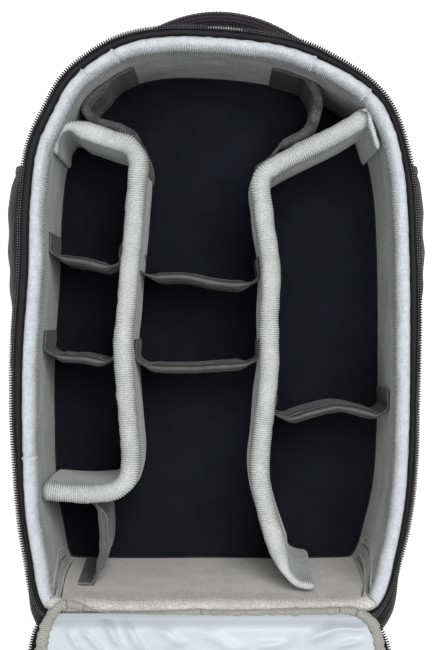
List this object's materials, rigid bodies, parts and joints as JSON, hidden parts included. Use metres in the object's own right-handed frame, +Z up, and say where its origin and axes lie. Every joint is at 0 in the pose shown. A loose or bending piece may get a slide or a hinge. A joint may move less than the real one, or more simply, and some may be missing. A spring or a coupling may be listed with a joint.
{
  "type": "camera backpack",
  "caption": "Open camera backpack lying on its back: padded tub with zip rim, movable dividers, grab handle, shoulder harness, and the front panel folded out over its lower end.",
  "frame": {"origin": "on the resting face of the back pads, below the middle of the opening", "axes": "+Y towards the bag's top end, +X to the right seen from above, +Z up out of the opening"},
  "size_m": [0.3917, 1.0205, 0.2066],
  "materials": {
    "black_cloth": "matt woven nylon",
    "pale_cloth": "pale nylon lining",
    "grey_velour": "brushed velour",
    "dark_velour": "brushed velour",
    "corner_velour": "brushed velour",
    "floor_cloth": "brushed velour",
    "zip_coil": "nylon coil",
    "mesh_cloth": "padded mesh",
    "buckle_plastic": "moulded",
    "slider_metal": "dark lacquer"
  },
  "bodies": {
    "root": {"shell": "black_cloth", "rim_zip_tape": "black_cloth", "lid_panel": "black_cloth", "lid_zip_tape": "black_cloth", "side_pocket_left": "black_cloth", "side_pocket_right": "black_cloth", "grab_handle": "black_cloth", "harness_yoke": "black_cloth", "strap_webbing_left": "black_cloth", "strap_webbing_right": "black_cloth", "anchor_tab_left": "black_cloth", "anchor_tab_right": "black_cloth", "wall_lining": "pale_cloth", "lid_lining": "pale_cloth", "lid_binding": "grey_velour", "divider_left": "grey_velour", "divider_right": "grey_velour", "cradle_left": "dark_velour", "cradle_right": "dark_velour", "divider_left_upper": "dark_velour", "divider_left_lower": "dark_velour", "divider_middle_upper": "dark_velour", "divider_middle_lower": "dark_velour", "divider_right_cross": "dark_velour", "divider_corner": "corner_velour", "floor_lining": "floor_cloth", "rim_zip_coil": "zip_coil", "lid_zip_coil": "zip_coil", "back_pad": "mesh_cloth", "lumbar_pad": "mesh_cloth", "shoulder_strap_left": "mesh_cloth", "shoulder_strap_right": "mesh_cloth", "ladder_lock_left": "buckle_plastic", "ladder_lock_right": "buckle_plastic", "zip_slider_left": "slider_metal", "zip_slider_right": "slider_metal"}
  },
  "joints": []
}
